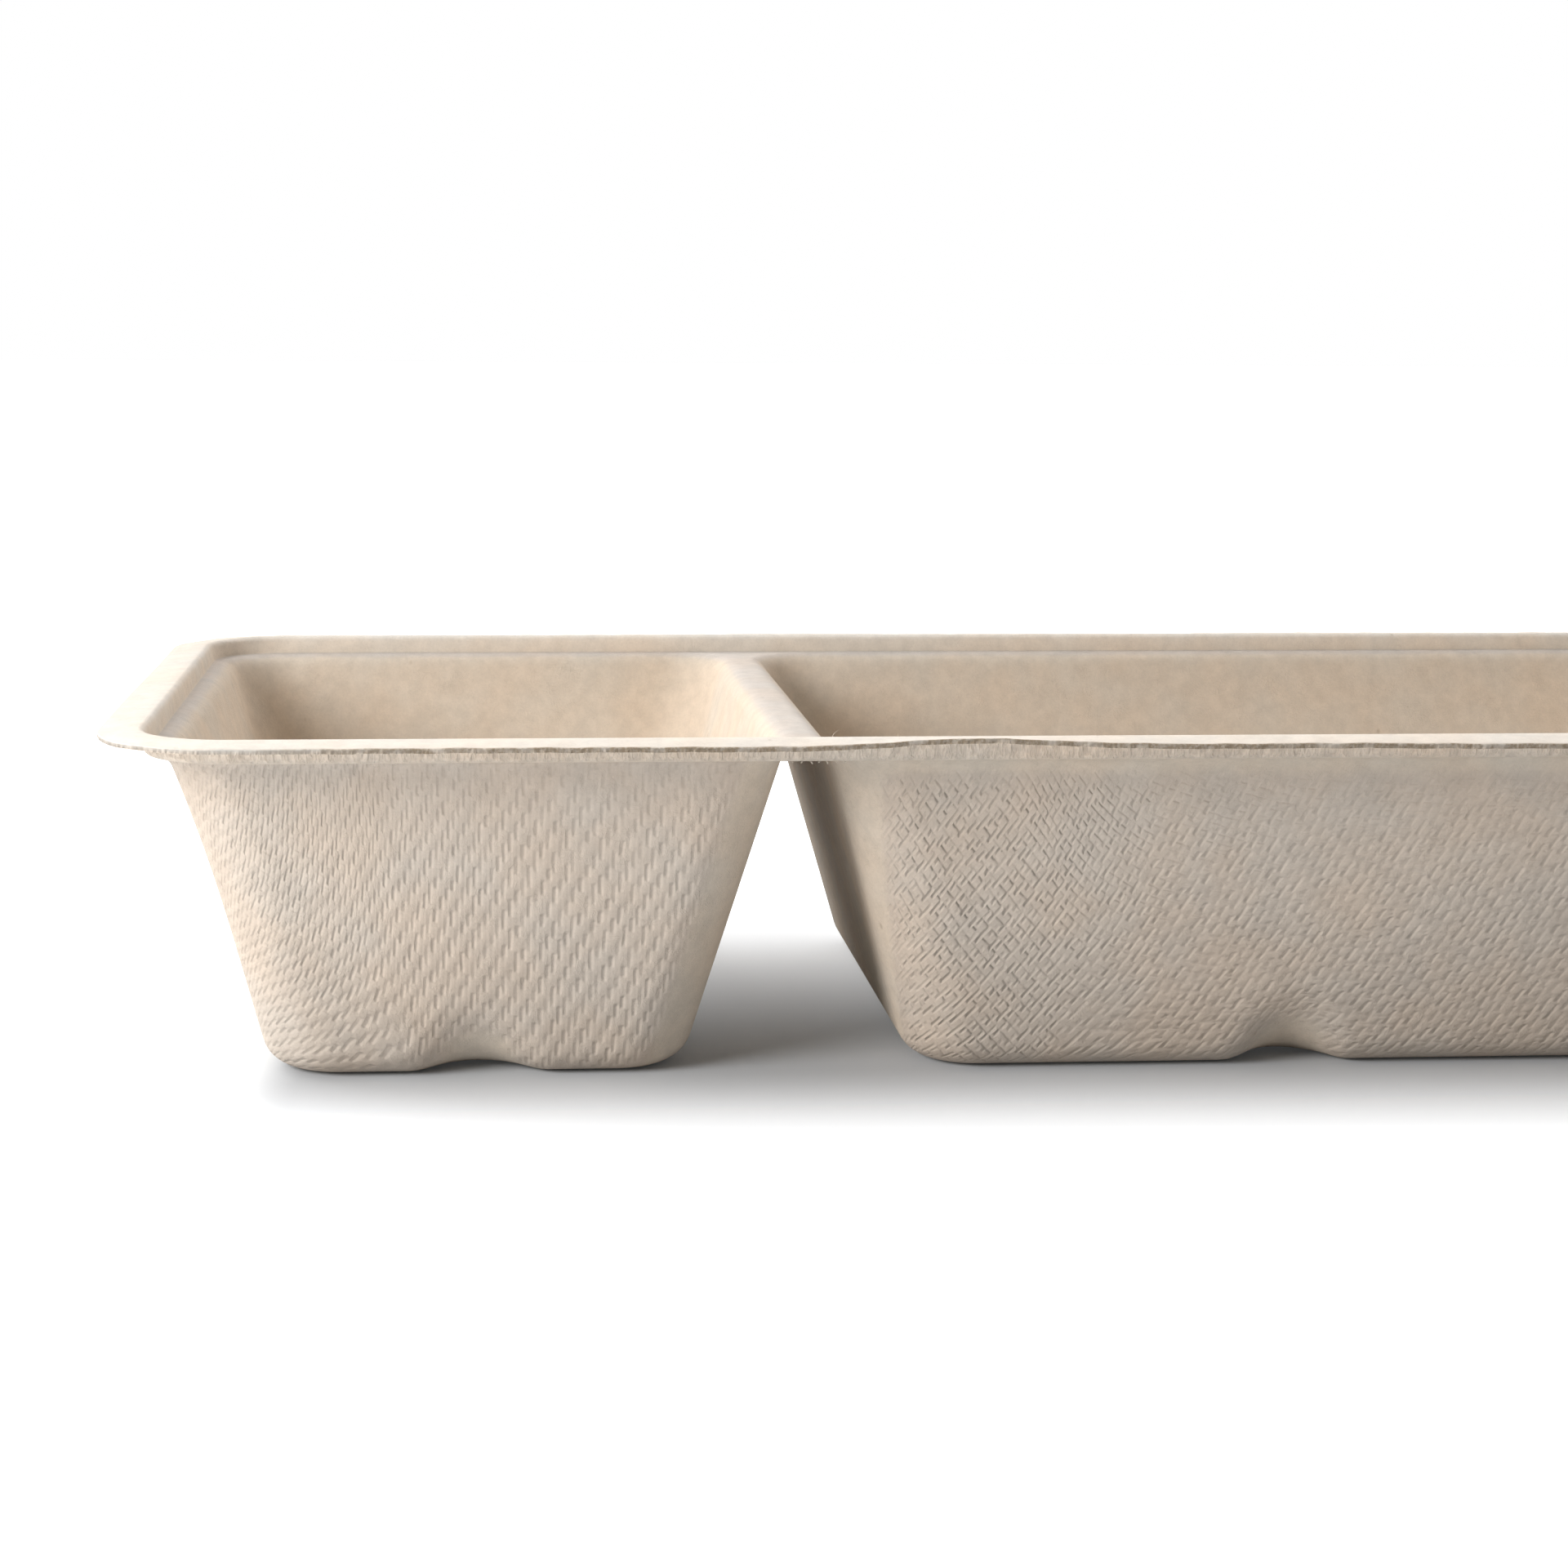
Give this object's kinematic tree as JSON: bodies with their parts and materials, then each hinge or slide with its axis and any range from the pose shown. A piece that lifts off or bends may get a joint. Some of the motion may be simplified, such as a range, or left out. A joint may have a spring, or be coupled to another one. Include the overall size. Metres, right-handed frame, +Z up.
{
  "type": "two-compartment food tray",
  "caption": "Shallow moulded-pulp chip tray with a small and a long cup hung from one flat rim, divided by an open tent-shaped gap, with small notches at the foot of the cup walls.",
  "frame": {"origin": "middle of the underside's bounding box, on the surface the tray stands on", "axes": "+X along the length, from the small cup to the long cup; +Y towards the back; +Z up, out of the cups"},
  "size_m": [0.275, 0.127, 0.0464],
  "materials": {
    "bagasse": "matte"
  },
  "bodies": {
    "root": {"tray": "bagasse"}
  },
  "joints": []
}
